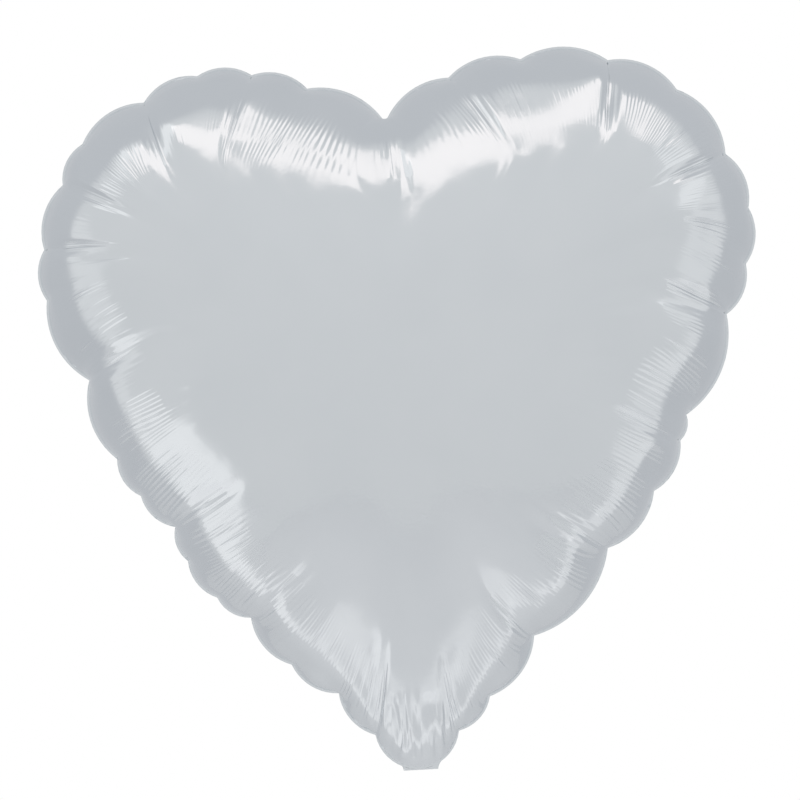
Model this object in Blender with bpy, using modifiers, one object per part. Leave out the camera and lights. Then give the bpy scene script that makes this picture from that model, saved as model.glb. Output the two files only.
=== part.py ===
"""A heart-shaped foil balloon, inflated, with its filling tail folded up behind it.

Frame: +Z runs up the heart from the neck to the cleft, the front film faces -Y,
and the origin is the neck, where the tail folds and a ribbon is tied.
"""

import math

import bpy
import bmesh
import numpy as np

MM = 0.001

# Driving dimensions, in millimetres until they are scaled by MM.
FILM = 0.2            # thickness of every film solid
GAP = 0.3             # clearance between neighbouring films
DEPTH = 70.0          # from the seam plane to the crown of one panel
SEAM = 5.0            # width of the flat heat-sealed edge
CENTRE = (0.0, 228.0)  # x and z of the crown of each panel
BULGE = 0.15          # height of each edge bulge over its chord
BULGE_STEPS = 3       # straight pieces in one edge bulge
NECK_STEPS = 10       # straight pieces round the neck lobe
NECK_BULGE = 0.43     # height of the neck lobe over its chord
RINGS = (1.0, 0.95, 0.87, 0.76, 0.62, 0.45, 0.25)  # rings from the seam in to the crown
PUCKER_REACH = 2.5    # how fast the edge bulges fade towards the crown
SIDE_CURVE = (2.4, 0.60)  # crown profile towards the sides: (1 - u^a)^b
TIP_CURVE = (1.6, 1.10)   # and towards the neck, where the heart narrows
TIP_SPREAD = 0.55     # half-angle, in radians, over which the tip profile holds
CLEFT_VALLEY = 0.22   # share of the depth lost in the valley below the cleft
CLEFT_WIDTH = 26.0    # half-width of that valley
MOUTH = 12.0          # half-width of the unsealed channel at the neck
MOUTH_REACH = 24.0    # how far up that channel the films stay parted

VALVE_LENGTH = 112.0  # how far the valve films reach up into the chamber
VALVE_HALF = 13.0     # half-width of the valve films
TAIL_LENGTH = 46.0    # from the fold to the open end
TAIL_HALF = 18.0      # half-width of the tail
TAIL_ROOT_HALF = 10.5  # half-width where the tail is gathered at the fold
TAIL_ROOT_GAP = 0.5   # from the hinge line to the start of the tail
TAIL_SHOULDER = 9.0   # length over which the tail widens from the fold
VALVE_INSET = 4.5     # from the tail's edge to the valve films inside it
FOLD_RADIUS = 1.6     # from the seam plane back to the fold's hinge line
FOLD_TURN = 160.0     # degrees from the tail hanging down to the tail folded up

# The notches between the bulges of the inflated edge, as x and z, clockwise from
# the cleft seen from the front. The last two stand either side of the neck.
NOTCHES = (
    (-1, 356), (35, 379), (75, 387), (123, 384), (160, 366), (185, 329), (196, 299), (193, 268),
    (181, 241), (156, 187), (152, 173), (136, 146), (109, 116), (66, 70), (40, 38), (22, 20),
    (-24, 20), (-43, 44), (-68, 61), (-89, 88), (-107, 100), (-122, 121), (-128, 140),
    (-146, 158), (-158, 179), (-171, 223), (-192, 268), (-192, 296), (-180, 331),
    (-168, 353), (-133, 374), (-103, 387), (-73, 386), (-43, 377),
)
NECK_NOTCH = 15       # index in NOTCHES of the notch before the neck lobe

SILVER = (0.62, 0.65, 0.67)
CLEAR_FILM = (0.82, 0.85, 0.86)


def clear_scene():
    for obj in list(bpy.data.objects):
        bpy.data.objects.remove(obj, do_unlink=True)


def new_collection(name):
    collection = bpy.data.collections.new(name)
    bpy.context.scene.collection.children.link(collection)
    return collection


def material(name, colour, roughness, metallic):
    mat = bpy.data.materials.new(name)
    mat.use_nodes = True
    shader = mat.node_tree.nodes["Principled BSDF"]
    shader.inputs["Base Color"].default_value = (*colour, 1.0)
    shader.inputs["Roughness"].default_value = roughness
    shader.inputs["Metallic"].default_value = metallic
    mat.diffuse_color = (*colour, 1.0)
    return mat


def arc(start, end, bulge, steps):
    """Points of the arc from start to end, bulging to the left, without its end."""
    start, end = np.array(start, float), np.array(end, float)
    chord = np.hypot(*(end - start))
    half_turn = 2 * math.atan(2 * bulge)
    radius = chord / (2 * math.sin(half_turn))
    along = (end - start) / chord
    out = np.array((-along[1], along[0]))
    middle = (start + end) / 2 - out * radius * math.cos(half_turn)
    turns = np.linspace(-half_turn, half_turn, steps + 1)[:-1]
    return [middle + radius * (math.sin(t) * along + math.cos(t) * out) for t in turns]


def heart_outline():
    """The puckered edge of the seam, clockwise seen from the front, in mm."""
    points = []
    for i, start in enumerate(NOTCHES):
        end = NOTCHES[(i + 1) % len(NOTCHES)]
        at_neck = i == NECK_NOTCH
        bulge = NECK_BULGE if at_neck else BULGE
        points += arc(start, end, bulge, NECK_STEPS if at_neck else BULGE_STEPS)
    return np.array(points)


def inset(outline, width):
    """The outline moved inwards by width, along the mean normal at each point."""
    along = np.roll(outline, -1, 0) - np.roll(outline, 1, 0)
    along /= np.hypot(along[:, 0], along[:, 1])[:, None]
    inward = np.stack((along[:, 1], -along[:, 0]), 1)
    return outline + width * inward


def seam_parting(point):
    """Distance from the seam plane to a panel's inner face where it is flat."""
    x, z = point
    parted = 1 - min(1.0, max(abs(x) / (2 * MOUTH), z / MOUTH_REACH))
    valve_stack = 2 * FILM + 2 * GAP
    return GAP / 2 + valve_stack * min(1.0, 2 * parted)


def crown(share, direction, point):
    """Depth of a panel at a share of the way from its crown to the seam."""
    from_tip = math.atan2(direction[0], -direction[1])
    tip = math.exp(-((from_tip / TIP_SPREAD) ** 2))
    side = (1 - share ** SIDE_CURVE[0]) ** SIDE_CURVE[1]
    neck = (1 - share ** TIP_CURVE[0]) ** TIP_CURVE[1]
    above = max(0.0, point[1] - CENTRE[1]) / (NOTCHES[0][1] - CENTRE[1])
    valley = CLEFT_VALLEY * min(1.0, above) * math.exp(-((point[0] / CLEFT_WIDTH) ** 2))
    return DEPTH * (side + (neck - side) * tip) * (1 - valley)


def panel_rings():
    """Rings of (x, depth, z) from the seam's outer edge to near the crown."""
    outline = heart_outline()
    seam = inset(outline, SEAM)
    rings = [[(p[0], seam_parting(p), p[1]) for p in outline]]
    centre = np.array(CENTRE)
    spokes = seam - centre
    reach = np.hypot(spokes[:, 0], spokes[:, 1])
    even = sum(np.roll(reach, k) for k in range(-4, 5)) / 9
    for share in RINGS:
        puckered = share ** PUCKER_REACH
        scale = share * (puckered + (1 - puckered) * even / reach)
        ring = []
        for spoke, s in zip(spokes, scale):
            point = centre + spoke * s
            depth = seam_parting(point) + crown(share, spoke, point)
            ring.append((point[0], depth, point[1]))
        rings.append(ring)
    return rings


def build_panel(name, side, mat, collection):
    """One inflated film, side -1 for the front and +1 for the back."""
    rings = panel_rings()
    bm = bmesh.new()
    loops = [[bm.verts.new((x * MM, side * y * MM, z * MM)) for x, y, z in ring] for ring in rings]
    top = bm.verts.new((CENTRE[0] * MM, side * (DEPTH + GAP / 2) * MM, CENTRE[1] * MM))
    count = len(loops[0])
    for outer, inner in zip(loops, loops[1:]):
        for i in range(count):
            j = (i + 1) % count
            bm.faces.new((outer[i], outer[j], inner[j], inner[i]))
    for i in range(count):
        bm.faces.new((loops[-1][i], loops[-1][(i + 1) % count], top))
    bmesh.ops.recalc_face_normals(bm, faces=bm.faces)
    if sum(face.normal.y for face in bm.faces) * side < 0:
        bmesh.ops.reverse_faces(bm, faces=bm.faces)
    mesh = bpy.data.meshes.new(name)
    bm.to_mesh(mesh)
    bm.free()
    panel = bpy.data.objects.new(name, mesh)
    collection.objects.link(panel)
    shell = panel.modifiers.new("film", "SOLIDIFY")
    shell.thickness = FILM * MM
    shell.offset = 1.0
    shell.use_even_offset = False
    mesh.materials.append(mat)
    mesh.shade_smooth()
    return panel


def strip_outline(half, root_half, root, shoulder, end, corner):
    """Outline of a film strip from z = root to z = end, gathered to root_half at its root."""
    step = 1 if end > root else -1
    right = [(root_half, root), (half, root + step * shoulder), (half, end - step * corner)]
    right.append((half - corner, end))
    return right + [(-x, z) for x, z in reversed(right)]


def build_film(name, outline, offset, mat, collection):
    """A flat film in the XZ plane, its middle at y = offset."""
    curve = bpy.data.curves.new(name, "CURVE")
    curve.dimensions = "2D"
    curve.fill_mode = "BOTH"
    curve.extrude = FILM / 2 * MM
    spline = curve.splines.new("POLY")
    spline.points.add(len(outline) - 1)
    for point, (x, z) in zip(spline.points, outline):
        point.co = (x * MM, z * MM, 0.0, 1.0)
    spline.use_cyclic_u = True
    film = bpy.data.objects.new(name, curve)
    film.rotation_euler = (math.pi / 2, 0.0, 0.0)
    film.location = (0.0, offset * MM, 0.0)
    curve.materials.append(mat)
    collection.objects.link(film)
    return film


def build_valve(mat, collection):
    """The two clear films of the self-sealing valve, inside the chamber."""
    outline = strip_outline(VALVE_HALF, TAIL_ROOT_HALF - 2, TAIL_ROOT_GAP, TAIL_SHOULDER,
                            VALVE_LENGTH, 3.0)
    apart = (FILM + GAP) / 2
    build_film("valve_front_film", outline, -apart, mat, collection)
    build_film("valve_back_film", outline, apart, mat, collection)


def build_tail(foil, clear, collection):
    """The filling tail with the valve films inside it, turned up about the fold."""
    fold = bpy.data.objects.new("tail_fold_axis", None)
    fold.location = (0.0, FOLD_RADIUS * MM, 0.0)
    fold.rotation_euler = (math.radians(FOLD_TURN), 0.0, 0.0)
    collection.objects.link(fold)
    outer = strip_outline(TAIL_HALF, TAIL_ROOT_HALF, -TAIL_ROOT_GAP, TAIL_SHOULDER,
                          -TAIL_LENGTH, 3.0)
    inner = strip_outline(TAIL_HALF - VALVE_INSET, TAIL_ROOT_HALF - 2, -TAIL_ROOT_GAP,
                          TAIL_SHOULDER, -TAIL_LENGTH + VALVE_INSET, 2.0)
    valve = (FILM + GAP) / 2
    foil_at = valve + FILM + GAP
    films = (
        build_film("tail_front_film", outer, -FOLD_RADIUS - foil_at, foil, collection),
        build_film("tail_back_film", outer, -FOLD_RADIUS + foil_at, foil, collection),
        build_film("tail_valve_front", inner, -FOLD_RADIUS - valve, clear, collection),
        build_film("tail_valve_back", inner, -FOLD_RADIUS + valve, clear, collection),
    )
    for film in films:
        film.parent = fold


def build():
    clear_scene()
    collection = new_collection("heart_foil_balloon")
    foil = material("foil_silver", SILVER, 0.22, 1.0)
    clear = material("valve_clear", CLEAR_FILM, 0.35, 0.0)
    build_panel("front_panel", -1, foil, collection)
    build_panel("back_panel", 1, foil, collection)
    build_valve(clear, collection)
    build_tail(foil, clear, collection)


build()
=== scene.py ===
"""The looks of the heart-shaped foil balloon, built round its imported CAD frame."""

import math

import bpy
import numpy as np
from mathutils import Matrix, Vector, noise


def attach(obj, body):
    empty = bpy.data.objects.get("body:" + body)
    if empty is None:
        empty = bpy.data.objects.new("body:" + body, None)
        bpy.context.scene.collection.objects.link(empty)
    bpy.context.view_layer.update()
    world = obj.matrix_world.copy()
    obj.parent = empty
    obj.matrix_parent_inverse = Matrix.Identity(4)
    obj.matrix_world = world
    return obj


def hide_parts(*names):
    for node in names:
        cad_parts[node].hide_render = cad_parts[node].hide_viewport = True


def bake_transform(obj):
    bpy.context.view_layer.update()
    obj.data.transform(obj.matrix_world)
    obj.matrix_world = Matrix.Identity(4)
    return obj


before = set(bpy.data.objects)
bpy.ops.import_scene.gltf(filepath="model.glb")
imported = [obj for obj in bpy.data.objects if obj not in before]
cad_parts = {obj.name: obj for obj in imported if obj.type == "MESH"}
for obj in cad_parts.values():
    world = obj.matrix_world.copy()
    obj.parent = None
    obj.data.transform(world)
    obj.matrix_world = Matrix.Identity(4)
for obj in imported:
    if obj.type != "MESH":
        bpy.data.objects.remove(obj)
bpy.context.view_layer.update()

MM = 0.001

# The heart's edge, as in the CAD: x and z in mm of the notches between its bulges,
# clockwise from the cleft seen from the front.
NOTCHES = (
    (-1, 356), (35, 379), (75, 387), (123, 384), (160, 366), (185, 329), (196, 299), (193, 268),
    (181, 241), (156, 187), (152, 173), (136, 146), (109, 116), (66, 70), (40, 38), (22, 20),
    (-24, 20), (-43, 44), (-68, 61), (-89, 88), (-107, 100), (-122, 121), (-128, 140),
    (-146, 158), (-158, 179), (-171, 223), (-192, 268), (-192, 296), (-180, 331),
    (-168, 353), (-133, 374), (-103, 387), (-73, 386), (-43, 377),
)
NECK_NOTCH = 15       # index in NOTCHES of the notch before the neck lobe
# Share of the spare film that gathers in the long creases, by index in NOTCHES.
CREASES = {0: 1.0, 1: 0.6, 3: 0.9, 5: 0.8, 8: 0.8, 10: 0.6, 12: 1.0, 13: 0.8, 15: 0.7,
           16: 0.7, 19: 1.0, 22: 1.0, 25: 0.4, 27: 0.6, 28: 0.6, 30: 0.9, 32: 0.5}
# How strongly the film is ribbed between a long crease and the next, by the same index.
RIBBED = {0: 0.9, 1: 0.6, 3: 0.9, 5: 1.0, 8: 0.8, 10: 0.9, 12: 1.1, 13: 0.9, 15: 0.6,
          16: 0.9, 19: 1.1, 22: 1.1, 25: 0.9, 27: 0.5, 28: 1.0, 30: 0.35, 32: 1.05}
# How far the film stands fuller, in mm, and how far from the seam that is greatest, in mm
# of film, by the same index. Between the notches named, both change evenly.
SWELLS = {
    0: (0.8, 42), 2: (0.0, 36), 8: (0.0, 26), 10: (1.8, 26), 12: (3.8, 32), 13: (4.2, 32),
    14: (3.0, 27), 15: (0.6, 18), 16: (0.6, 18), 17: (3.0, 27), 18: (4.6, 32),
    19: (4.4, 33), 22: (3.0, 29), 24: (2.0, 26), 25: (0.8, 26), 27: (0.0, 38),
    28: (1.6, 40), 29: (3.0, 42), 32: (2.7, 42),
}
SWELL_WIDTHS = (0.33, 0.55)  # half-widths over that distance, to the seam and inwards
SWELL_START = 8       # mm of film from the seam, over which the swells begin
MINOR_CREASE = 0.35   # share of its own spare film that any other notch keeps
BULGE = 0.15          # height of an edge bulge over its chord
NECK_BULGE = 0.43     # and of the neck lobe
CENTRE = np.array((0.0, 228.0))  # the place in the seam's plane below each film's crown
TIP_SPREAD = 0.40     # half-angle, in radians, of the narrow lower part of the heart

# The film as it is cut, and how finely it is simulated.
CUT_SCALE = 1.17      # size of the flat cut over the inflated outline
CUT_ROUNDING = 350    # passes of smoothing that round off the outline's bulges
SEAM = 1.1            # width of the heat-sealed edge, in mm
CELL = 3.2            # spacing of the simulated film's threads, in mm
MIN_CELLS = 3         # fewest cells between two notches
MIN_SPARE = 1.0       # least spare film there, in mm
EDGE_RINGS = 24       # rings of cells that follow the seam
RING_SMOOTHING = 2    # passes of smoothing of each of these rings
INNER_CELL = 1.25     # height of the cells further in, over CELL
INNER_SKIP = 8        # the innermost rings keep one thread in so many

# The film's shape before it is inflated.
DEPTH = 66.0          # depth of one film, in mm
DOME = (2.4, 0.6)     # powers of its profile from the crown to the seam
TIP_DOME = (1.6, 1.1)  # and below the crown, where it is flatter
DRAW_IN = 4           # power with which it is drawn in towards the seam
SHIFT = 12            # and with which it is moved sideways on to it
PETAL_PUFF = 3.0      # how far it swells between two notches, in mm
PUFF_REACH = 0.10     # and how far in, over the way to the crown

# The cloth solver, in its own units.
SIM_SCALE = 10.0      # it works on a film ten times life size
SIM_FRAMES = 20
SIM_QUALITY = 6       # its steps in each frame
GAS_PRESSURE = 4.0
FILM_MASS = 0.005
FILM_STIFFNESS = 80   # against stretching and shearing
FILM_BENDING = 0.02
FILM_DAMPING = 5
SEAM_HOLD = 50        # stiffness with which the sealed edge is held

# The fine film made from the simulated one.
COLUMN_SPLIT = 6      # columns of the fine film for each simulated thread
ROW_BANDS = (3.5, 20)  # rings from the seam where the spacing of its rows changes
ROW_STEPS = (0.5, 0.85, 1.4)  # that spacing, in rings, before, between and after them
SPARSE_RING = 23      # ring from which it keeps only one column in four
PETAL_RINGS = (1.0, 6.0)  # where petals, from notch to notch, give way to facets, from
                          # one long crease to the next, in evening out the film
FACET_BEND = 2        # degree of the curve that a short facet is drawn to
FACET_THREADS = 24    # threads of a long one for each further degree
END_WEIGHT = 0.15     # weight of a facet's ends in the fit of that curve
END_POWER = 8         # power with which the weight falls towards them
CREASE_THREADS = 1.6  # half-width of a long crease, in threads
FOLD_EASING = 0.75    # how far the folds at the notches are opened near the seam
FOLD_RINGS = 12       # over how many rings
FOLD_SIDE = 3         # and between threads how far to either side
CROWN_WAVES = 5       # waves round the crown that are kept there
EDGE_WAVES = 3        # and waves for each thread at the seam
ROW_SMOOTHING = 12    # passes of smoothing from row to row
SEAM_EASING = 0.15    # share of each pass that is taken next to the seam
FILM_EASING, FILM_RINGS = 0.35, (2, 6)  # how much more further in, and from where
CROWN_EASING, CROWN_RINGS = 0.5, (20, 32)  # and how much more near the crown
TIP_FLATNESS = (0.63, 20.0, 130.0)  # depth kept at the neck, and where it grows to all, in mm

# The upright folds in the front film at the neck, in mm.
NECK_FOLDS = 1.6      # height
NECK_PITCH = 3.5      # half-spacing
NECK_GRAIN = 16       # half-length
NECK_BAND = (3, 9, 30, 46)  # where they start and end above the fold of the tail
NECK_REACH = (12, 22)  # and to either side

# The fine ribs and folds that run square to the seam. A grain is the size of what a noise
# makes, in mm along the seam and square to it. A strength is its mean, spread and least.
RIB_PITCH = 3.4       # spacing of the ribs, in mm
RIB_HEIGHT = 0.30     # height of the ribs, in mm
RIB_BAND = (8, 18, 40, 76)  # where the ribs start and end, in mm of film from the seam
RIB_PLATEAU = (0.2, 0.8)  # between two long creases, where a share in RIBBED holds
EVEN_RIBS, ROUGH_RIBS = 0.55, 0.9  # how much of the ribs is even waves, and how much rough
ROUGH_GRAIN = (RIB_PITCH * 0.55, 30)
SWAY, SWAY_GRAIN = 1.2, (21, 55)  # how far the even waves wander, in ribs
GROUP_STRENGTH, GROUP_GRAIN = (0.6, 0.8, 0.08), (30, 45)  # of groups of ribs
RIB_STRENGTH, RIB_GRAIN = (0.6, 1.0, 0.15), 5.0  # and of single ones
CREASE_WIDTH = 5.0    # half-width of the small folds along a long crease, in mm
CREASE_FOLDS = 3.0    # their height over that of the ribs
CREASE_BAND = (8, 20, 50, 80)  # where they start and end, as in RIB_BAND
CREASE_GRAIN = (1.3, 70)

# The sealed edge.
EDGE_ROWS = 3         # rows across it
EDGE_CRINKLE = 0.55   # its waviness, in mm
CRINKLE_GRAIN = 1.7   # size of the waves, in mm
CRINKLE_SEED = 5.0    # the same for both films, which are sealed together
FILM_APART = 0.2      # between the two films at the seam, in mm
MOUTH_APART = 1.8     # and where the valve and the tail's root pass between them at the neck
MOUTH = (15.0, 26.0)  # half-width of the parted films at the neck, and how far up they go
MOUTH_EASING = (0.5, 1.0)  # shares of MOUTH over which they come together
MOUTH_CALM = (0.4, 0.9)  # and over which the crinkles start

# The filling tail, in mm. It is that of the CAD, but for a narrower root and longer
# shoulders, which stay hidden behind the neck lobe.
TAIL_LENGTH = 46.0    # from the fold to the open end
TAIL_HALF = 18.0      # half-width
TAIL_ROOT_HALF = 9.6  # half-width at the fold
TAIL_SHOULDER = 13.0  # length over which it widens
TAIL_SEAL = 4.5       # width of the sealed strip down each side
ROOT_SEAL = 0.6       # and beside the root, clear of the valve film
SEAL_BAND = (TAIL_SHOULDER / 2, TAIL_SHOULDER + 2)  # where the strip widens
SEAL_SLOPE = 0.64     # share of its width over which the films come together
TAIL_APART = 1.5      # between its two films
SEAL_CLOSED = 0.86    # share of that taken away in the sealed strips
TAIL_MOUTH = (41.5, 45.0)  # where they draw together, beyond the end of the valve film
MOUTH_DRAWN = 0.8     # and by what share
TAIL_CORNER = (2.5, 0.3)  # length of the rounded corners, and how sharply they turn
TAIL_LAP = 3.2        # how far its root runs up inside the sealed edge at the neck
LAP_APART = 0.96      # between its films there
LAP_EASING = 0.5      # share of the lap over which they reach that
FOLD_RADIUS = 1.6     # from the seam plane back to the hinge line
FOLD_TURN = 160.0     # degrees from hanging down to folded up
FOLD_FLATNESS = 0.20  # height of the fold over that of a round one
GATHERS = (0.16, 0.22)  # height of its lengthwise ripples, and how much more near the root
GATHER_BAND = (2, 26)  # from where to where the ripples ease
GATHER_GRAINS = (1.7, 26), (4.5, 15)  # width and length of the narrow ones, then the broad
BROAD_SHARE = 0.6     # height of the broad ones over the narrow ones
GATHER_FLOOR = -0.3   # how far inwards they may go
RIDGE_HEIGHT = 0.035  # of the ridges pressed across the sealed strips
RIDGE_PITCH = 1.8
TAIL_COLUMNS = 61     # points across a film
LAP_ROWS = 6          # rows in the lap
FOLD_ROWS = 19        # round the fold
SHOULDER_ROWS = 14    # over the shoulders, from SHOULDER_START on
SHOULDER_START = 0.5
TAIL_ROW = 0.6        # and their spacing beyond

# Looks. The depths are in metres.
FOIL_DARK = (0.790, 0.815, 0.835)
FOIL_LIGHT = (0.835, 0.855, 0.870)
FOIL_ROUGHNESS = (0.10, 0.17)
DIMPLE_DEPTH = 0.00005
GRAIN_DEPTH = 0.000004
VALVE_DARK = (0.80, 0.84, 0.86)
VALVE_LIGHT = (0.93, 0.94, 0.94)
VALVE_ROUGHNESS = (0.22, 0.42)
VALVE_CLEARNESS = 0.75
STREAK_DEPTH = 0.00008
FLOOR_TONES = (0.88, 0.88, 0.88), (0.91, 0.91, 0.91)
NOISE_SPREAD = (0.3, 0.7)  # between which most of a noise texture's values lie

# The studio, in metres. A light's radiance adds to that of the room behind it.
ROOM_FRONT = (0.700, 0.715, 0.730)
ROOM_BACK = (0.575, 0.592, 0.618)
ROOM_TURN = (-0.28, -0.09)  # y of the directions between which the one turns into the other
ROOM_HEIGHTS = (-0.6, 0.6)  # z of the directions between which the room grows brighter
ROOM_STRENGTHS = (0.955, 1.02)
LIGHT_POWER = 4       # watts for each square metre of a light of unit radiance
WARM, COOL = (1.0, 0.87, 0.82), (1.0, 0.98, 0.96)
# Each light's name, place, target, width and height, radiance and colour.
LIGHTS = (
    ("top_left_light", (-0.36, -0.88, 1.75), (-0.36, 0.0, 0.3), (1.01, 0.56), 0.31, WARM),
    ("top_right_light", (0.67, -0.64, 1.75), (0.67, 0.0, 0.3), (1.05, 0.42), 0.31, WARM),
    ("upper_left_light", (-1.02, -0.68, 1.45), (-0.1, 0.0, 0.3), (0.36, 0.90), 0.17, COOL),
    ("upper_right_light", (1.45, -0.72, 0.85), (0.1, 0.0, 0.3), (0.40, 0.70), 0.14, COOL),
    ("left_side_light", (-1.50, -0.48, 0.30), (-0.1, 0.0, 0.25), (0.36, 0.90), 0.07, COOL),
    ("right_side_light", (1.50, -0.42, 0.15), (0.1, 0.0, 0.2), (0.36, 0.80), 0.07, COOL),
    ("left_light", (-1.10, -0.71, -0.58), (-0.1, 0.0, 0.15), (0.62, 0.90), 0.19, COOL),
    ("right_light", (1.00, -0.42, -0.62), (0.1, 0.0, 0.15), (0.46, 0.85), 0.11, COOL),
    ("low_light", (0.0, -0.76, -1.05), (0.0, 0.0, 0.1), (1.60, 0.20), 0.09, COOL),
    ("lower_light", (0.0, -0.58, -1.05), (0.0, 0.0, 0.1), (1.70, 0.17), 0.13, COOL),
)
FLOOR_LIGHT = ((0.0, -0.9, 1.4), (0.0, -0.9, -1.2), (2.6, 2.0), 0.5, COOL)
FLOOR_LEVEL = -1.2
FLOOR_RADIUS = 2.4
FLOOR_RISE = 0.02     # of its rim over its middle
FLOOR_RINGS, FLOOR_SPOKES = 14, 96
CAMERA_TARGET = (-0.0009, 0.0, 0.2033)
CAMERA_DISTANCE = 3.0
CAMERA_FIELD = 0.44   # width of the view at the target
CAMERA_LEAN = 3.0     # degrees that the balloon leans to the left in the picture
SENSOR_WIDTH = 36.0   # in mm


# --- Curves in the plane of the seam, as arrays of (x, z) in mm -------------------------


def arc(start, end, bulge, steps):
    """Points of the arc from start to end, bulging to the left, with both ends."""
    start, end = np.array(start, float), np.array(end, float)
    chord = np.hypot(*(end - start))
    half_turn = 2 * math.atan(2 * bulge)
    radius = chord / (2 * math.sin(half_turn))
    along = (end - start) / chord
    out = np.array((-along[1], along[0]))
    middle = (start + end) / 2 - out * radius * math.cos(half_turn)
    turns = np.linspace(-half_turn, half_turn, steps + 1)[:, None]
    return middle + radius * (np.sin(turns) * along + np.cos(turns) * out)


def inset(curve, width):
    """The closed curve moved inwards by width, along the mean normal at each point."""
    along = np.roll(curve, -1, 0) - np.roll(curve, 1, 0)
    along /= np.hypot(along[:, 0], along[:, 1])[:, None]
    return curve + width * np.stack((along[:, 1], -along[:, 0]), 1)


def smoothed(curve, passes):
    """The closed curve after so many passes of averaging with its neighbours."""
    for _ in range(passes):
        curve = (np.roll(curve, 1, 0) + 2 * curve + np.roll(curve, -1, 0)) / 4
    return curve


def lengths(curve):
    """The lengths of an open curve's pieces."""
    return np.hypot(*np.diff(curve, axis=0).T)


def spaced(curve, places):
    """Points of an open curve at the given distances along it."""
    run = np.r_[0, np.cumsum(lengths(curve))]
    return np.stack([np.interp(places, run, curve[:, k]) for k in (0, 1)], 1)


def step(value, low, high):
    """Smoothstep from 0 at low to 1 at high."""
    part = np.clip((value - low) / (high - low), 0, 1)
    return part * part * (3 - 2 * part)


# --- The seam: where each thread of the film starts, flat and inflated ------------------


def seam_threads():
    """For each thread across the film: its place on the flat cut's edge, its place on the
    inflated seam, the outer edge beyond it, and its place between two notches, 0 to 1."""
    arcs = []
    for i, start in enumerate(NOTCHES):
        end = NOTCHES[(i + 1) % len(NOTCHES)]
        bulge = NECK_BULGE if i == NECK_NOTCH else BULGE
        steps = round(math.dist(start, end))
        arcs.append(arc(start, end, bulge, steps))
    outline = np.concatenate([a[:-1] for a in arcs])
    seam_line = inset(outline, SEAM)
    firsts = np.cumsum([0] + [len(a) - 1 for a in arcs])
    rounded = smoothed(outline, CUT_ROUNDING)
    cut = CENTRE + (rounded - CENTRE) * CUT_SCALE
    cut = np.r_[cut, cut[:1]]
    cut_run = np.r_[0, np.cumsum(lengths(cut))]
    seam_line = np.r_[seam_line, seam_line[:1]]
    bays = []
    for i, a in enumerate(arcs):
        line = seam_line[firsts[i]:firsts[i + 1] + 1]
        room = cut_run[firsts[i + 1]] - cut_run[firsts[i]]
        film = min(lengths(line).sum(), room - MIN_SPARE)
        cells = max(MIN_CELLS, round(film / CELL))
        bays.append({"outer": a, "line": line, "start": cut_run[firsts[i]], "film": film,
                     "spare": (room - film) / 2, "cells": cells})
    gaps = gathered([bays[i - 1]["spare"] + bays[i]["spare"] for i in range(len(bays))])
    place = bays[0]["start"] + bays[0]["spare"]
    starts = []
    for i, bay in enumerate(bays):
        starts.append(place)
        place += bay["film"] + gaps[(i + 1) % len(gaps)]
    drift = np.mean([start - bay["start"] - bay["spare"]
                     for start, bay in zip(starts, bays)])
    for start, bay in zip(starts, bays):
        bay["first"] = start - drift
    total = sum(bay["cells"] + 2 for bay in bays)
    for bay in sorted(bays, key=lambda b: -b["film"] / b["cells"])[:-total % INNER_SKIP]:
        bay["cells"] += 1
    flat_at, seam, outer, phase = [], [], [], []
    for i, bay in enumerate(bays):
        share = np.linspace(0, 1, bay["cells"] + 1)
        first = bay["first"]
        flat_at += list(first + share * bay["film"])
        seam += list(spaced(bay["line"], share * lengths(bay["line"]).sum()))
        outer += list(spaced(bay["outer"], share * lengths(bay["outer"]).sum()))
        phase += list(share)
        fold = gaps[(i + 1) % len(gaps)]
        inward = seam[-1] - outer[-1]
        flat_at.append(first + bay["film"] + fold / 2)
        seam.append(seam[-1] + inward / np.hypot(*inward) * fold / 2)
        outer.append(outer[-1])
        phase.append(0.0)
    flat_at = np.array(flat_at) % cut_run[-1]
    return spaced(cut, flat_at), np.array(seam), np.array(outer), np.array(phase)


def gathered(gaps):
    """The spare film at each notch once most of it has moved into the long creases."""
    count = len(gaps)
    moved = list(gaps)
    for i, gap in enumerate(gaps):
        if i in CREASES:
            continue
        back = next(k for k in range(1, count) if (i - k) % count in CREASES)
        ahead = next(k for k in range(1, count) if (i + k) % count in CREASES)
        given = gap * (1 - MINOR_CREASE)
        moved[i] -= given
        moved[(i - back) % count] += given * ahead / (back + ahead)
        moved[(i + ahead) % count] += given * back / (back + ahead)
    return moved


def tip_share(points):
    """1 straight below the crown, falling to 0 at the heart's sides."""
    away = points - CENTRE
    return np.exp(-(np.arctan2(away[:, 0], -away[:, 1]) / TIP_SPREAD) ** 2)


def stepped_in(ring, width):
    """The ring one cell further in: square to itself, but towards the crown at the tip."""
    square = inset(ring, 1.0) - ring
    upward = CENTRE - ring
    upward /= np.hypot(*upward.T)[:, None]
    tip = tip_share(ring)[:, None]
    return smoothed(ring + width * (square + (upward - square) * tip), RING_SMOOTHING)


def film_rings(flat_edge):
    """Rings of the flat cut from its edge to near its middle, and how many threads each
    skips, so that the cells stay about square."""
    rings, skips = [flat_edge], [1]
    for _ in range(EDGE_RINGS):
        rings.append(stepped_in(rings[-1], CELL))
        skips.append(1)
    inner = rings[-1]
    middle = inner.mean(0)
    steps = int(np.hypot(*(inner - middle).T).mean() / (CELL * INNER_CELL))
    for k in range(1, steps):
        share = 1 - k / steps
        rings.append(middle + (inner - middle) * share)
        skips.append(2 if share > 0.5 else 4 if share > 0.25 else INNER_SKIP)
    return rings, skips, middle


# --- Inflating the film -----------------------------------------------------------------


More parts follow.
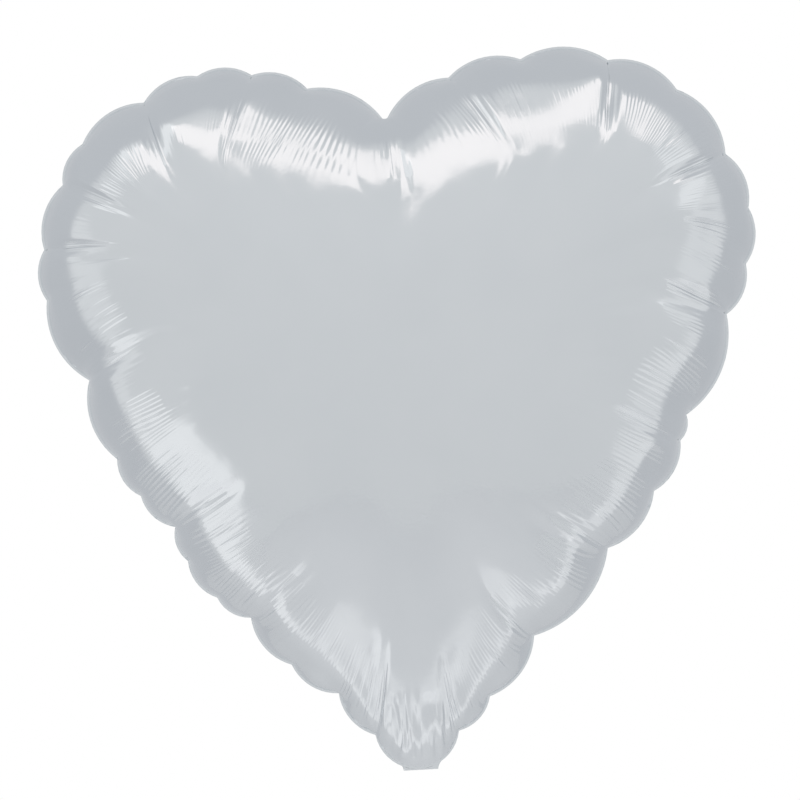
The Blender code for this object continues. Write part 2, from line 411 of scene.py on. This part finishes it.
def start_shape(rings, skips, seam, phase):
    """Each ring's points, in mm, domed and drawn in to the seam before the gas goes in."""
    flat_edge = rings[0]
    spokes = flat_edge - CENTRE
    reach = np.hypot(*spokes.T)
    drawn_in = np.hypot(*(seam - CENTRE).T) / reach
    off_line = seam - (CENTRE + spokes * drawn_in[:, None])
    shapes = []
    for ring, skip in zip(rings, skips):
        away = ring - CENTRE
        share = np.minimum(np.hypot(*away.T) / reach, 1.0)
        scale = 1 - (1 - drawn_in) * share ** DRAW_IN
        flat = CENTRE + away * scale[:, None] + off_line * (share ** SHIFT)[:, None]
        tip = tip_share(flat)
        dome = (1 - share ** DOME[0]) ** DOME[1]
        dome += ((1 - share ** TIP_DOME[0]) ** TIP_DOME[1] - dome) * tip
        near_seam = (1 - share) * np.exp(-((1 - share) / PUFF_REACH) ** 2)
        puff = PETAL_PUFF * np.sin(np.pi * phase) * near_seam / (PUFF_REACH / 2)
        depth = DEPTH * dome + puff
        shapes.append(np.stack((flat[:, 0], -depth, flat[:, 1]), 1)[::skip])
    shapes[0] = np.stack((seam[:, 0], np.zeros(len(seam)), seam[:, 1]), 1)
    return shapes


def film_faces(counts):
    """Faces between rings of the given vertex counts, and the fan round the middle. A
    ring has as many vertices as the one before it, half as many, or twice as many."""
    faces, first = [], 0
    for count, after in zip(counts, counts[1:]):
        second = first + count
        for i in range(after):
            j = (i + 1) % after
            if after == count:
                faces.append((first + j, first + i, second + i, second + j))
            elif after < count:
                a, b, c = first + 2 * i, first + 2 * i + 1, first + (2 * i + 2) % count
                faces += [(b, a, second + i), (second + j, b, second + i), (c, b, second + j)]
            elif i % 2 == 0:
                a, b, c = first + i // 2, first + (i // 2 + 1) % count, second + i
                faces += [(a, c, c + 1), (b, a, c + 1)]
                faces.append((b, c + 1, second + (i + 2) % after))
        first = second
    count = counts[-1]
    faces += [(first + (i + 1) % count, first + i, first + count) for i in range(count)]
    return faces


def inflate(rings, skips, middle, seam, phase):
    """The film's rings after a pressure simulation, in mm."""
    flats = [ring[::skip] for ring, skip in zip(rings, skips)]
    starts = start_shape(rings, skips, seam, phase)
    counts = [len(ring) for ring in flats]
    flat = np.concatenate(flats + [middle[None]])
    flat = np.stack((flat[:, 0], np.zeros(len(flat)), flat[:, 1]), 1)
    crown = starts[-1].mean(0)
    start = np.concatenate(starts + [crown[None]])
    scale = MM * SIM_SCALE
    mesh = bpy.data.meshes.new("film_simulation")
    mesh.from_pydata((flat * scale).tolist(), [], film_faces(counts))
    mesh.update()
    film = bpy.data.objects.new("film_simulation", mesh)
    bpy.context.scene.collection.objects.link(film)
    held = film.vertex_groups.new(name="seam")
    held.add(list(range(counts[0])), 1.0, "REPLACE")
    film.shape_key_add(name="cut")
    domed = film.shape_key_add(name="domed")
    domed.data.foreach_set("co", (start * scale).ravel())
    domed.value = 1.0
    cloth = film.modifiers.new("gas", "CLOTH")
    cloth.collision_settings.use_collision = False
    cloth.point_cache.frame_start = 1
    cloth.point_cache.frame_end = SIM_FRAMES
    thread = cloth.settings
    thread.rest_shape_key = mesh.shape_keys.key_blocks["cut"]
    thread.vertex_group_mass = "seam"
    thread.pin_stiffness = SEAM_HOLD
    thread.effector_weights.gravity = 0
    thread.use_pressure = True
    thread.uniform_pressure_force = GAS_PRESSURE
    thread.quality = SIM_QUALITY
    thread.mass = FILM_MASS
    thread.tension_stiffness = thread.compression_stiffness = FILM_STIFFNESS
    thread.shear_stiffness = FILM_STIFFNESS
    thread.bending_stiffness = FILM_BENDING
    thread.tension_damping = thread.compression_damping = FILM_DAMPING
    thread.shear_damping = FILM_DAMPING
    thread.air_damping = 1
    scene = bpy.context.scene
    for moment in range(1, SIM_FRAMES + 1):
        scene.frame_set(moment)
    settled = film.evaluated_get(bpy.context.evaluated_depsgraph_get()).data
    points = np.zeros(len(flat) * 3)
    settled.vertices.foreach_get("co", points)
    points = points.reshape(-1, 3) / scale
    scene.frame_set(1)
    bpy.data.objects.remove(film)
    return np.split(points[:-1], np.cumsum(counts)[:-1])


# --- From the simulated rings to a fine film --------------------------------------------


def cubic(values, places, around):
    """Catmull-Rom values at fractional places along axis 0, closed or with open ends."""
    count = len(values)
    low = np.floor(places).astype(int)
    part = (places - low).reshape(-1, *[1] * (values.ndim - 1))
    nearby = (low + k for k in (-1, 0, 1, 2))
    a, b, c, d = (values[k % count if around else k.clip(0, count - 1)] for k in nearby)
    bend = part * (c - a + part * (2 * a - 5 * b + 4 * c - d + part * (3 * (b - c) + d - a)))
    return b + bend / 2


def bay_starts(phase):
    """The first thread of each bay between two notches, from the phases of the threads."""
    after = np.roll(phase, -1)
    return [i for i in range(len(phase)) if phase[i] == 0 and after[i] > 0]


def evened(ring, first, last, share):
    """Draws the threads from first to last towards one smooth curve, but for its ends."""
    threads = np.arange(first, last + 1) % len(ring)
    count = len(threads)
    at = np.linspace(-1, 1, count)
    degree = min(count - 2, FACET_BEND + count // FACET_THREADS)
    basis = np.polynomial.legendre.legvander(at, degree)
    weights = (END_WEIGHT + (1 - at ** END_POWER))[:, None]
    fit = basis @ np.linalg.lstsq(basis * weights, ring[threads] * weights, rcond=None)[0]
    held = np.clip(np.minimum(at + 1, 1 - at) * count / 2 / CREASE_THREADS, 0, 1)[:, None]
    ring[threads] += (fit - ring[threads]) * held * held * (3 - 2 * held) * share


def evened_rings(rings, phase):
    """The simulated rings without the ripples as small as the solver's cells: smooth from
    notch to notch near the seam, and from crease to crease further in."""
    starts = bay_starts(phase)
    count = len(phase)
    creases = sorted(CREASES)
    rings = [ring.copy() for ring in rings]

    def even(ring, notch, other, share):
        """Evens out the ring from one notch to another, between their folds."""
        first, last = starts[notch], starts[other % len(starts)] - 2
        evened(ring, first, first + (last - first) % count, share)

    for ring, facet in zip(rings[1:], step(np.arange(1, EDGE_RINGS + 1), *PETAL_RINGS)):
        if facet < 1:
            for notch in range(len(starts)):
                even(ring, notch, notch + 1, 1 - facet)
        if facet > 0:
            for one, other in zip(creases, creases[1:] + creases[:1]):
                even(ring, one, other, facet)
            for i, notch in enumerate(creases):
                before, after = creases[i - 1], creases[(i + 1) % len(creases)]
                if CREASES[notch] < 1:
                    even(ring, before, after, facet * (1 - CREASES[notch]))
    folds = [start - 1 for start in starts]
    for fold in folds:
        across = (rings[0][fold - 1] + rings[0][fold + 1]) / 2
        rings[0][fold] += (across - rings[0][fold]) * FOLD_EASING
    for k in range(1, FOLD_RINGS):
        eased = FOLD_EASING * (1 - step(k, FOLD_RINGS / 2, FOLD_RINGS))
        for fold in folds:
            before = rings[k][(fold - FOLD_SIDE) % count]
            after = rings[k][(fold + FOLD_SIDE) % count]
            for thread in range(1 - FOLD_SIDE, FOLD_SIDE):
                across = before + (after - before) * (thread + FOLD_SIDE) / (2 * FOLD_SIDE)
                rings[k][fold + thread] += (across - rings[k][fold + thread]) * eased
    return rings


def fine_grid(rings):
    """The film as rows from the seam to the crown, each with the same number of columns."""
    columns = len(rings[0]) * COLUMN_SPLIT
    turn = np.arange(columns) / columns
    rows = np.stack([cubic(ring, turn * len(ring), True) for ring in rings])
    count = len(rings)
    reach = 1 - np.arange(count) / (count - 1)
    waves = np.arange(columns // 2 + 1)
    for k in range(EDGE_RINGS // 2, count):
        kept = CROWN_WAVES + len(rings[0]) * EDGE_WAVES * reach[k] ** 3
        keep = np.exp(-(waves / kept) ** 2)
        rows[k] = np.fft.irfft(np.fft.rfft(rows[k], axis=0) * keep[:, None], columns, axis=0)
    ring = np.arange(1, count - 1)
    share = SEAM_EASING + FILM_EASING * step(ring, *FILM_RINGS)
    share += CROWN_EASING * step(ring, *CROWN_RINGS)
    for _ in range(ROW_SMOOTHING):
        nearer = (rows[:-2] + 2 * rows[1:-1] + rows[2:]) / 4
        rows[1:-1] += (nearer - rows[1:-1]) * share[:, None, None]
    near, far = ROW_BANDS
    places = np.r_[np.arange(0, near, ROW_STEPS[0]), np.arange(near, far, ROW_STEPS[1]),
                   np.arange(far, count - 1, ROW_STEPS[2])]
    return cubic(rows, places, False), places


def column_splits(places):
    """For each row of the film, with its sealed edge, one in how many of the columns it
    keeps: all where the ribs are, and fewer at the seam and towards the crown."""
    near, far = ROW_BANDS
    splits = [2 if k < near else 1 if k < far else 2 if k < SPARSE_RING else 4 for k in places]
    return [2] * EDGE_ROWS + splits


def surface_normals(grid):
    """Unit normals of a grid of rows and closed columns, pointing to the front."""
    across = np.roll(grid, -1, 1) - np.roll(grid, 1, 1)
    along = np.gradient(grid, axis=0)
    normal = np.cross(across, along)
    normal /= np.linalg.norm(normal, axis=2)[:, :, None] + 1e-12
    return normal * np.sign(-normal[..., 1:2].mean())


def crease_share(phase, columns):
    """For each column, 1 in the long creases, falling to 0 beside them."""
    starts = bay_starts(phase)
    turn = np.arange(columns) / COLUMN_SPLIT
    share = np.zeros(columns)
    for notch, strength in CREASES.items():
        away = (turn - (starts[notch] - 1) + len(phase) / 2) % len(phase) - len(phase) / 2
        share = np.maximum(share, strength * np.exp(-(away * CELL / CREASE_WIDTH) ** 2))
    return share


def between_notches(phase, columns, values):
    """For each column, a value drawn straight between those given for some notches."""
    starts = bay_starts(phase)
    turn = np.arange(columns) / COLUMN_SPLIT
    notches = sorted(values)
    at = [starts[notch] for notch in notches]
    return np.interp(turn, at, [values[notch] for notch in notches], period=len(phase))


def rib_share(phase, columns):
    """For each column, how strongly the film is ribbed there."""
    starts = bay_starts(phase)
    turn = np.arange(columns) / COLUMN_SPLIT
    at = sorted(RIBBED)
    middles, shares = [], []
    for one, other in zip(at, at[1:] + at[:1]):
        width = (starts[other] - starts[one]) % len(phase)
        for part in RIB_PLATEAU:
            middles.append((starts[one] + width * part) % len(phase))
            shares.append(RIBBED[one])
    return np.interp(turn, *zip(*sorted(zip(middles, shares))), period=len(phase))


def swollen(grid, places, phase):
    """The grid with the film fuller where SWELLS says so."""
    columns = grid.shape[1]
    height, middle = (between_notches(phase, columns, {k: v[i] for k, v in SWELLS.items()})
                      for i in (0, 1))
    depth = places[:, None] * CELL
    away = (depth - middle) / middle
    away /= np.where(away < 0, *SWELL_WIDTHS)
    grid = grid.copy()
    grid[..., 1] -= height * np.exp(-away ** 2 / 2) * step(depth, 0, SWELL_START)
    return grid


def neck_folds(grid, seed):
    """How far each point of the grid stands out in the upright folds at the neck."""
    height = np.zeros(grid.shape[:2])
    x, z = grid[..., 0], grid[..., 2]
    shown = step(z, *NECK_BAND[:2]) * (1 - step(z, *NECK_BAND[2:]))
    shown *= 1 - step(np.abs(x), *NECK_REACH)
    for row, column in zip(*np.nonzero(shown)):
        at = (x[row, column] / NECK_PITCH, z[row, column] / NECK_GRAIN, seed)
        height[row, column] = noise.noise(at) * shown[row, column] * NECK_FOLDS
    return height


def grain(at, depth, size, seed):
    """Noise at a place along the seam and a depth from it, with grains of the given size."""
    return noise.noise((at / size[0], depth / size[1], seed))


def weight(value, mean, spread, least):
    """A noise's value as a share round the given mean, and no less than least."""
    return max(least, mean + spread * value)


def ribbed(grid, places, creased, shares, seed):
    """The grid with the fine ribs that run square to the seam, in the band where the
    film is gathered, and fade out both at the seam and towards the crown, and with the
    small folds along the long creases. What is added to seed keeps the noises apart."""
    columns = grid.shape[1]
    run = np.arange(columns) * CELL / COLUMN_SPLIT
    normals = surface_normals(grid)
    height = np.zeros(grid.shape[:2])
    for row, depth in enumerate(places * CELL):
        if not RIB_BAND[0] < depth < CREASE_BAND[3]:
            continue
        shown = step(depth, *RIB_BAND[:2]) * (1 - step(depth, *RIB_BAND[2:]))
        along = step(depth, *CREASE_BAND[:2]) * (1 - step(depth, *CREASE_BAND[2:]))
        for column, at in enumerate(run):
            sway = SWAY * grain(at, depth, SWAY_GRAIN, seed + 5.0)
            wave = math.sin(2 * math.pi * (at / RIB_PITCH + sway))
            rough = grain(at, depth, ROUGH_GRAIN, seed)
            group = weight(grain(at, depth, GROUP_GRAIN, seed + 9.0), *GROUP_STRENGTH)
            single = noise.noise((at / RIB_GRAIN, seed + 4.0, 0.5))
            single = weight(single, *RIB_STRENGTH)
            rib = (EVEN_RIBS * wave + ROUGH_RIBS * rough) * group * single
            fold = grain(at, depth, CREASE_GRAIN, seed + 7.0)
            rib *= shown * shares[column]
            height[row, column] = rib + CREASE_FOLDS * along * creased[column] * fold
    return grid + normals * (height * RIB_HEIGHT)[:, :, None]


def with_sealed_edge(grid, outer):
    """The grid with the flat sealed edge added outside its first row."""
    columns = grid.shape[1]
    turn = np.arange(columns) / COLUMN_SPLIT
    low = np.floor(turn).astype(int)
    part = (turn - low)[:, None]
    beyond = outer[low % len(outer)] * (1 - part) + outer[(low + 1) % len(outer)] * part
    first = grid[0]
    rows = []
    for share in np.linspace(1, 0, EDGE_ROWS + 1)[:-1]:
        flat = first[:, [0, 2]] + (beyond - first[:, [0, 2]]) * share
        lift = [noise.noise((x / CRINKLE_GRAIN, z / CRINKLE_GRAIN, CRINKLE_SEED))
                for x, z in flat]
        away = np.hypot(flat[:, 0] / MOUTH[0], flat[:, 1] / MOUTH[1])
        lift = np.array(lift) * step(away, *MOUTH_CALM) * share * EDGE_CRINKLE
        rows.append(np.stack((flat[:, 0], first[:, 1] + lift, flat[:, 1]), 1))
    return np.concatenate((np.array(rows), grid))


def smooth_object(name, points, faces):
    """A new smooth object of the given points and faces, in the scene."""
    mesh = bpy.data.meshes.new(name)
    mesh.from_pydata(points, [], faces)
    mesh.shade_smooth()
    made = bpy.data.objects.new(name, mesh)
    bpy.context.scene.collection.objects.link(made)
    return made


def film_mesh(name, grid, crown, side, splits):
    """A mesh of the film's grid, side -1 for the front film and +1 for the back one. Each
    row keeps one column in so many as splits says."""
    rings = [row[::split] for row, split in zip(grid, splits)]
    points = np.concatenate(rings + [crown[None]])
    away = np.hypot(points[:, 0] / MOUTH[0], points[:, 2] / MOUTH[1])
    parted = FILM_APART + (MOUTH_APART - FILM_APART) * (1 - step(away, *MOUTH_EASING))
    points[:, 1] -= parted / 2
    points *= (1, -side, 1)
    faces = film_faces([len(ring) for ring in rings])
    if side > 0:
        faces = [face[::-1] for face in faces]
    film = smooth_object(name, (points * MM).tolist(), faces)
    first = sum(len(ring) for ring in rings[:EDGE_ROWS])
    beyond = first + len(rings[EDGE_ROWS])
    for edge in film.data.edges:
        edge.use_edge_sharp = all(first <= k < beyond for k in edge.vertices)
    return film


# --- The filling tail -------------------------------------------------------------------


def tail_rows():
    """The tail's rows from the top of the lap to the open end: the share of the lap, the
    turn round the fold or the run beyond it, with its kind."""
    rows = [("lap", share) for share in np.linspace(1, 0, LAP_ROWS)]
    rows += [("turn", turn) for turn in np.linspace(0, math.radians(FOLD_TURN), FOLD_ROWS)[1:]]
    rows += [("run", run) for run in np.linspace(SHOULDER_START, TAIL_SHOULDER, SHOULDER_ROWS)]
    rows += [("run", run) for run in np.arange(TAIL_SHOULDER, TAIL_LENGTH, TAIL_ROW)[1:]]
    return rows + [("run", TAIL_LENGTH)]


def tail_film(name, side, seed):
    """One film of the tail: its root starts inside the neck's sealed edge, and it turns
    round the fold and runs up behind the balloon to its open end. side is -1 for the
    front film, +1 for the back."""
    rest = math.radians(FOLD_TURN)
    places = np.linspace(-1, 1, TAIL_COLUMNS)
    points = []
    for kind, value in tail_rows():
        run = value if kind == "run" else 0.0
        half = TAIL_ROOT_HALF + (TAIL_HALF - TAIL_ROOT_HALF) * step(run, 0, TAIL_SHOULDER)
        corner = max(0.0, run - (TAIL_LENGTH - TAIL_CORNER[0]))
        half -= corner ** 2 * TAIL_CORNER[1]
        x = places * half
        seal = ROOT_SEAL + (TAIL_SEAL - ROOT_SEAL) * step(run, *SEAL_BAND)
        sealed = step(np.abs(x), half - seal, half - SEAL_SLOPE * seal)
        closed = 1 - MOUTH_DRAWN * step(run, *TAIL_MOUTH)
        narrow, broad = GATHER_GRAINS
        gather = [grain(v, run, narrow, seed) + BROAD_SHARE * grain(v, run, broad, seed)
                  for v in x]
        gather = np.array(gather) * (GATHERS[0] + GATHERS[1] * (1 - step(run, *GATHER_BAND)))
        gather *= 1 - sealed
        ridges = RIDGE_HEIGHT * np.sin(run * 2 * math.pi / RIDGE_PITCH) * sealed
        outward = TAIL_APART / 2 * (1 - SEAL_CLOSED * sealed) + np.maximum(gather, GATHER_FLOOR)
        outward *= closed
        offset = side * outward + ridges
        if kind == "lap":
            tucked = side * LAP_APART / 2 - offset
            y = offset + tucked * step(value, 0, LAP_EASING)
            z = np.full(TAIL_COLUMNS, TAIL_LAP * value)
        else:
            turn = value if kind == "turn" else rest
            arm = offset - FOLD_RADIUS
            y = FOLD_RADIUS + arm * math.cos(turn) + run * math.sin(turn)
            z = arm * math.sin(turn) * FOLD_FLATNESS - run * math.cos(turn)
        points.append(np.stack((x, y, z), 1))
    points = np.array(points)
    index = np.arange(points.shape[0] * TAIL_COLUMNS).reshape(-1, TAIL_COLUMNS)
    a, b, c, d = index[:-1, :-1], index[:-1, 1:], index[1:, 1:], index[1:, :-1]
    quads = np.stack((a, b, c, d) if side > 0 else (b, a, d, c), 2).reshape(-1, 4)
    return smooth_object(name, (points.reshape(-1, 3) * MM).tolist(), quads.tolist())


# --- Materials --------------------------------------------------------------------------


class Nodes:
    """A new node material and the few kinds of node that the foil and film need."""

    def __init__(self, name):
        self.material = bpy.data.materials.new(name)
        self.material.use_nodes = True
        self.tree = self.material.node_tree
        self.shader = self.tree.nodes["Principled BSDF"]
        self.place = self.add("ShaderNodeTexCoord").outputs["Object"]

    def add(self, kind, **values):
        """A new node of the given kind, with the given settings."""
        node = self.tree.nodes.new(kind)
        for name, value in values.items():
            setattr(node, name, value)
        return node

    def link(self, source, target):
        self.tree.links.new(source, target)

    def noise(self, grains, detail, stretch=None):
        """Noise with the given number of grains per metre."""
        node = self.add("ShaderNodeTexNoise")
        node.inputs["Scale"].default_value = grains
        node.inputs["Detail"].default_value = detail
        place = self.place
        if stretch:
            mapping = self.add("ShaderNodeMapping")
            mapping.inputs["Scale"].default_value = stretch
            self.link(place, mapping.inputs["Vector"])
            place = mapping.outputs["Vector"]
        self.link(place, node.inputs["Vector"])
        return node.outputs["Fac"]

    def ranged(self, value, low, high):
        """A noise's usual values mapped to low to high."""
        node = self.add("ShaderNodeMapRange")
        node.inputs["From Min"].default_value = NOISE_SPREAD[0]
        node.inputs["From Max"].default_value = NOISE_SPREAD[1]
        node.inputs["To Min"].default_value = low
        node.inputs["To Max"].default_value = high
        self.link(value, node.inputs["Value"])
        return node.outputs["Result"]

    def blended(self, value, first, second):
        """A colour between first and second."""
        node = self.add("ShaderNodeMix", data_type="RGBA")
        node.inputs["A"].default_value = (*first, 1.0)
        node.inputs["B"].default_value = (*second, 1.0)
        self.link(value, node.inputs["Factor"])
        return node.outputs["Result"]

    def bump(self, height, distance, under=None):
        """The normal of a surface with the given relief, over that of another if given."""
        node = self.add("ShaderNodeBump")
        node.inputs["Distance"].default_value = distance
        self.link(height, node.inputs["Height"])
        if under:
            self.link(under, node.inputs["Normal"])
        return node.outputs["Normal"]


def foil_material(name):
    """Silvered nylon film: a bright metal with a faint grain and shallow dimples."""
    nodes = Nodes(name)
    shader = nodes.shader
    shader.inputs["Metallic"].default_value = 1.0
    nodes.link(nodes.blended(nodes.noise(grains=22, detail=3), FOIL_DARK, FOIL_LIGHT),
               shader.inputs["Base Color"])
    nodes.link(nodes.ranged(nodes.noise(grains=60, detail=4), *FOIL_ROUGHNESS),
               shader.inputs["Roughness"])
    dimples = nodes.bump(nodes.noise(grains=130, detail=2), DIMPLE_DEPTH)
    relief = nodes.bump(nodes.noise(grains=1500, detail=2), GRAIN_DEPTH, under=dimples)
    nodes.link(relief, shader.inputs["Normal"])
    return nodes.material


def valve_material(name):
    """Clear, slightly milky polyethylene with faint drawn streaks."""
    nodes = Nodes(name)
    shader = nodes.shader
    shader.inputs["IOR"].default_value = 1.5
    shader.inputs["Transmission Weight"].default_value = VALVE_CLEARNESS
    streaks = nodes.noise(grains=90, detail=3, stretch=(6, 1, 1))
    nodes.link(nodes.blended(streaks, VALVE_DARK, VALVE_LIGHT), shader.inputs["Base Color"])
    nodes.link(nodes.ranged(nodes.noise(grains=240, detail=3), *VALVE_ROUGHNESS),
               shader.inputs["Roughness"])
    nodes.link(nodes.bump(streaks, STREAK_DEPTH), shader.inputs["Normal"])
    return nodes.material


def floor_material(name):
    """A pale dull grey."""
    nodes = Nodes(name)
    nodes.link(nodes.blended(nodes.noise(grains=1.5, detail=2), *FLOOR_TONES),
               nodes.shader.inputs["Base Color"])
    nodes.shader.inputs["Roughness"].default_value = 0.8
    return nodes.material


# --- The studio -------------------------------------------------------------------------


def soft_light(name, place, target, size, radiance, colour, reflected=True):
    """A rectangular soft light facing its target. It isn't seen itself, but in the foil."""
    light = bpy.data.lights.new(name, "AREA")
    light.shape = "RECTANGLE"
    light.size, light.size_y = size
    light.energy = radiance * LIGHT_POWER * size[0] * size[1]
    light.color = colour
    panel = bpy.data.objects.new(name, light)
    panel.location = place
    panel.rotation_mode = "QUATERNION"
    panel.rotation_quaternion = (Vector(target) - Vector(place)).to_track_quat("-Z", "Y")
    panel.visible_camera = False
    panel.visible_glossy = reflected
    bpy.context.scene.collection.objects.link(panel)


def surroundings():
    """A white backdrop for the camera, and for the foil to reflect a pale grey room, a
    little darker behind the balloon and below it."""
    world = bpy.data.worlds.new("studio")
    bpy.context.scene.world = world
    world.use_nodes = True
    tree = world.node_tree
    links = tree.links
    place = tree.nodes.new("ShaderNodeTexCoord").outputs["Generated"]
    axes = tree.nodes.new("ShaderNodeSeparateXYZ")
    links.new(place, axes.inputs["Vector"])
    behind = tree.nodes.new("ShaderNodeMapRange")
    behind.interpolation_type = "SMOOTHSTEP"
    behind.inputs["From Min"].default_value = ROOM_TURN[0]
    behind.inputs["From Max"].default_value = ROOM_TURN[1]
    links.new(axes.outputs["Y"], behind.inputs["Value"])
    tone = tree.nodes.new("ShaderNodeMix")
    tone.data_type = "RGBA"
    tone.inputs["A"].default_value = (*ROOM_FRONT, 1.0)
    tone.inputs["B"].default_value = (*ROOM_BACK, 1.0)
    links.new(behind.outputs["Result"], tone.inputs["Factor"])
    height = tree.nodes.new("ShaderNodeMapRange")
    height.inputs["From Min"].default_value = ROOM_HEIGHTS[0]
    height.inputs["From Max"].default_value = ROOM_HEIGHTS[1]
    height.inputs["To Min"].default_value = ROOM_STRENGTHS[0]
    height.inputs["To Max"].default_value = ROOM_STRENGTHS[1]
    links.new(axes.outputs["Z"], height.inputs["Value"])
    room = tree.nodes["Background"]
    links.new(tone.outputs["Result"], room.inputs["Color"])
    links.new(height.outputs["Result"], room.inputs["Strength"])
    backdrop = tree.nodes.new("ShaderNodeBackground")
    backdrop.inputs["Color"].default_value = (1, 1, 1, 1)
    seen = tree.nodes.new("ShaderNodeLightPath")
    mix = tree.nodes.new("ShaderNodeMixShader")
    links.new(seen.outputs["Is Camera Ray"], mix.inputs["Fac"])
    links.new(room.outputs["Background"], mix.inputs[1])
    links.new(backdrop.outputs["Background"], mix.inputs[2])
    links.new(mix.outputs["Shader"], tree.nodes["World Output"].inputs["Surface"])


def studio_floor():
    """A large round pale floor, its middle a little dished like a paper sweep."""
    rings, spokes = FLOOR_RINGS, FLOOR_SPOKES
    points, faces = [], []
    for ring in range(rings + 1):
        radius = FLOOR_RADIUS * ring / rings
        level = FLOOR_LEVEL + FLOOR_RISE * (ring / rings) ** 3
        for spoke in range(spokes):
            turn = 2 * math.pi * spoke / spokes
            points.append((radius * math.cos(turn), radius * math.sin(turn), level))
    for ring in range(rings):
        for spoke in range(spokes):
            a, b = ring * spokes + spoke, ring * spokes + (spoke + 1) % spokes
            faces.append((a, a + spokes, b + spokes, b))
    floor = smooth_object("floor", points, faces)
    floor.data.materials.append(floor_material("pale_floor"))


def camera():
    """The camera, square on to the front film."""
    data = bpy.data.cameras.new("camera")
    data.sensor_width = SENSOR_WIDTH
    data.lens = SENSOR_WIDTH * CAMERA_DISTANCE / CAMERA_FIELD
    data.clip_end = 100.0
    view = bpy.data.objects.new("camera", data)
    lean = math.radians(CAMERA_LEAN)
    view.location = Vector(CAMERA_TARGET) - Vector((0, CAMERA_DISTANCE, 0))
    view.rotation_euler = (math.pi / 2, lean, 0)
    bpy.context.scene.collection.objects.link(view)
    bpy.context.scene.camera = view


# --- Building it ------------------------------------------------------------------------


def build_films(foil):
    """The front and back films of the envelope."""
    flat_edge, seam, outer, phase = seam_threads()
    rings, skips, middle = film_rings(flat_edge)
    settled = inflate(rings, skips, middle, seam, phase)
    grid, places = fine_grid(evened_rings(settled, phase))
    grid = swollen(grid, places, phase)
    crown = grid[-1].mean(0)
    creased = crease_share(phase, grid.shape[1])
    shares = rib_share(phase, grid.shape[1])
    splits = column_splits(places)
    kept, narrow, broad = TIP_FLATNESS
    for name, node, side, seed in (("front_film", "front_panel", -1, 1.0),
                                   ("back_film", "back_panel", 1, 40.0)):
        base = grid.copy()
        if side > 0:
            base[..., 1] *= kept + (1 - kept) * step(base[..., 2], narrow, broad)
        else:
            base += surface_normals(base) * neck_folds(base, seed)[:, :, None]
        shape = with_sealed_edge(ribbed(base, places, creased, shares, seed), outer)
        film = film_mesh(name, shape, crown, side, splits)
        film.data.materials.append(foil)
        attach(film, "envelope")
        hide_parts(node)


def build_tail(foil):
    """The front and back films of the filling tail, built folded up at the neck."""
    for name, node, side, seed in (("tail_front", "tail_front_film", -1, 70.0),
                                   ("tail_back", "tail_back_film", 1, 90.0)):
        film = tail_film(name, side, seed)
        film.data.materials.append(foil)
        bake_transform(film)
        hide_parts(node)


foil = foil_material("foil_silver_look")
build_films(foil)
build_tail(foil_material("foil_tail_look"))
valve = valve_material("valve_film_look")
for name in ("valve_front_film", "valve_back_film", "tail_valve_front", "tail_valve_back"):
    for place in bpy.data.objects[name].material_slots:
        place.material = valve

surroundings()
for light in LIGHTS:
    soft_light(*light)
soft_light("floor_light", *FLOOR_LIGHT, reflected=False)
studio_floor()
camera()
bpy.context.scene.view_settings.view_transform = "Standard"
